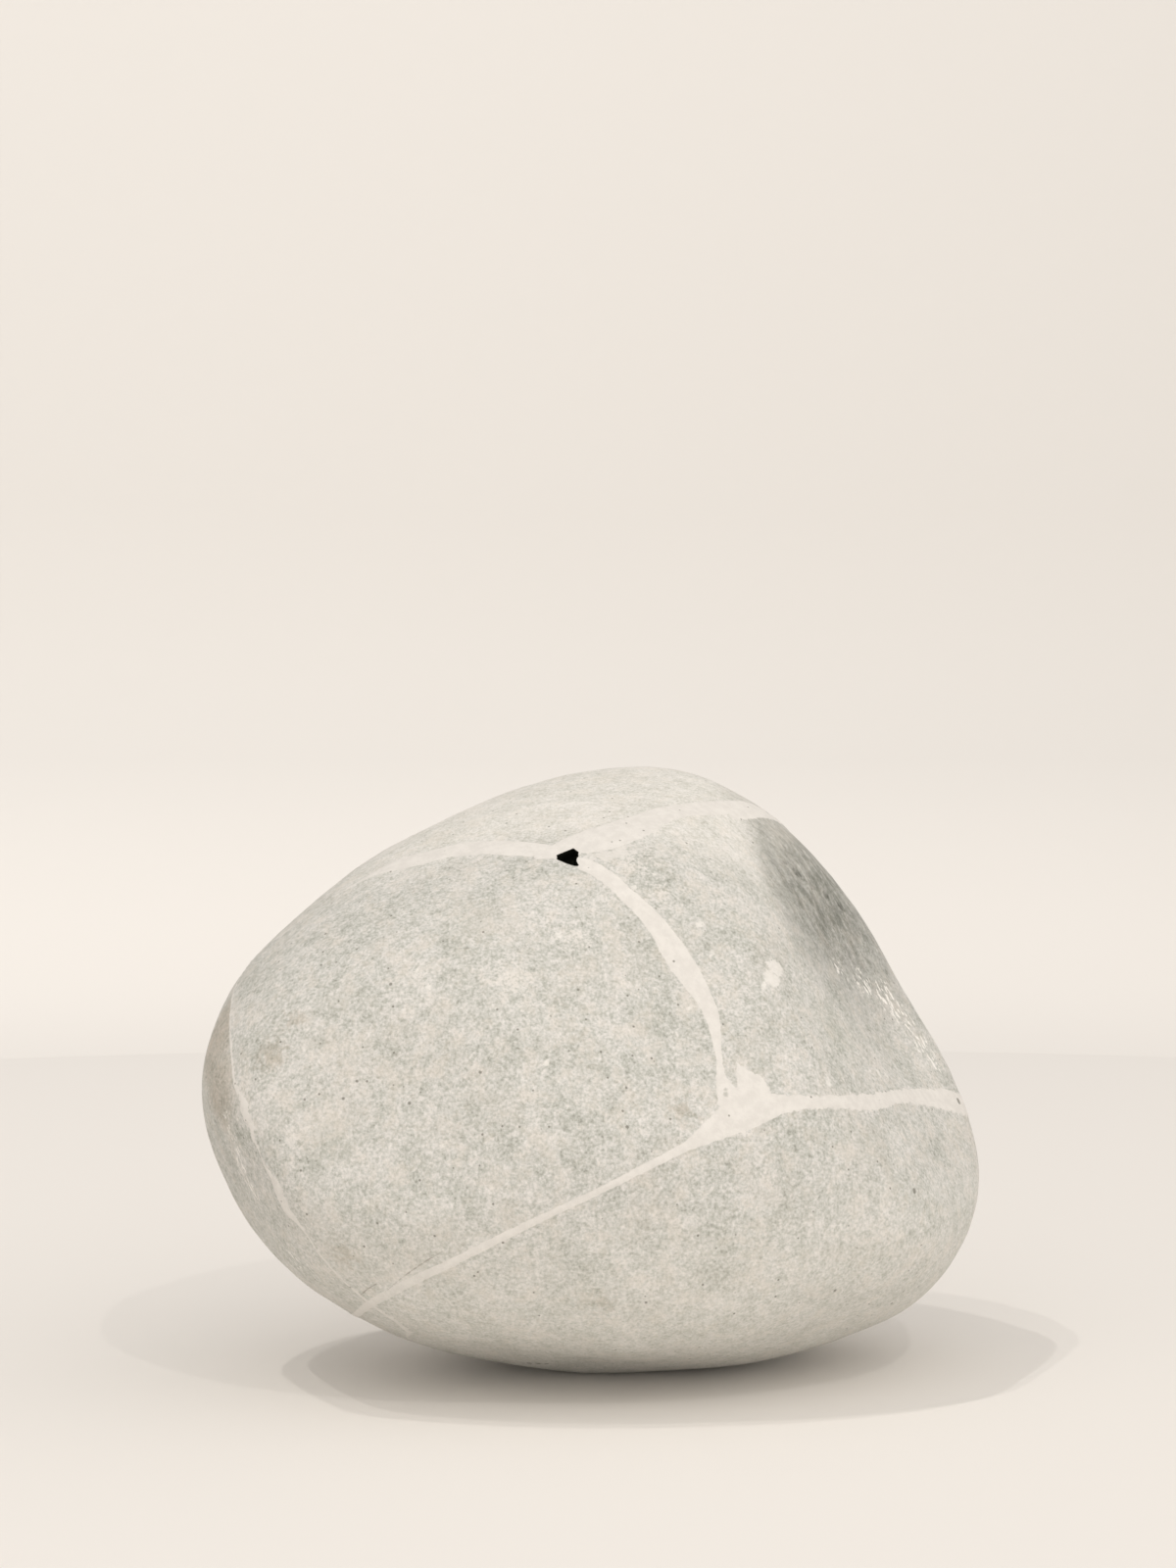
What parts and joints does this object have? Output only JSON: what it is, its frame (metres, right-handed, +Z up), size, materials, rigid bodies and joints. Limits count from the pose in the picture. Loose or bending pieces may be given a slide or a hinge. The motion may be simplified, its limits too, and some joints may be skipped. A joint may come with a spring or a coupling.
{
  "type": "river stone",
  "caption": "Water-worn pale grey boulder crossed by broad mineral veins, with one small dark hole near its top, resting on a small flat spot.",
  "frame": {"origin": "middle of the small flat spot on the underside, on the surface that the stone rests on", "axes": "+Z up as it rests, +X to the right along its longest side, +Y away from someone who faces the veined front"},
  "size_m": [0.3014, 0.2506, 0.2325],
  "materials": {
    "stone": "matte, fine-grained, greenish grey with off-white veins"
  },
  "bodies": {
    "root": {"river_stone": "stone"}
  },
  "joints": []
}
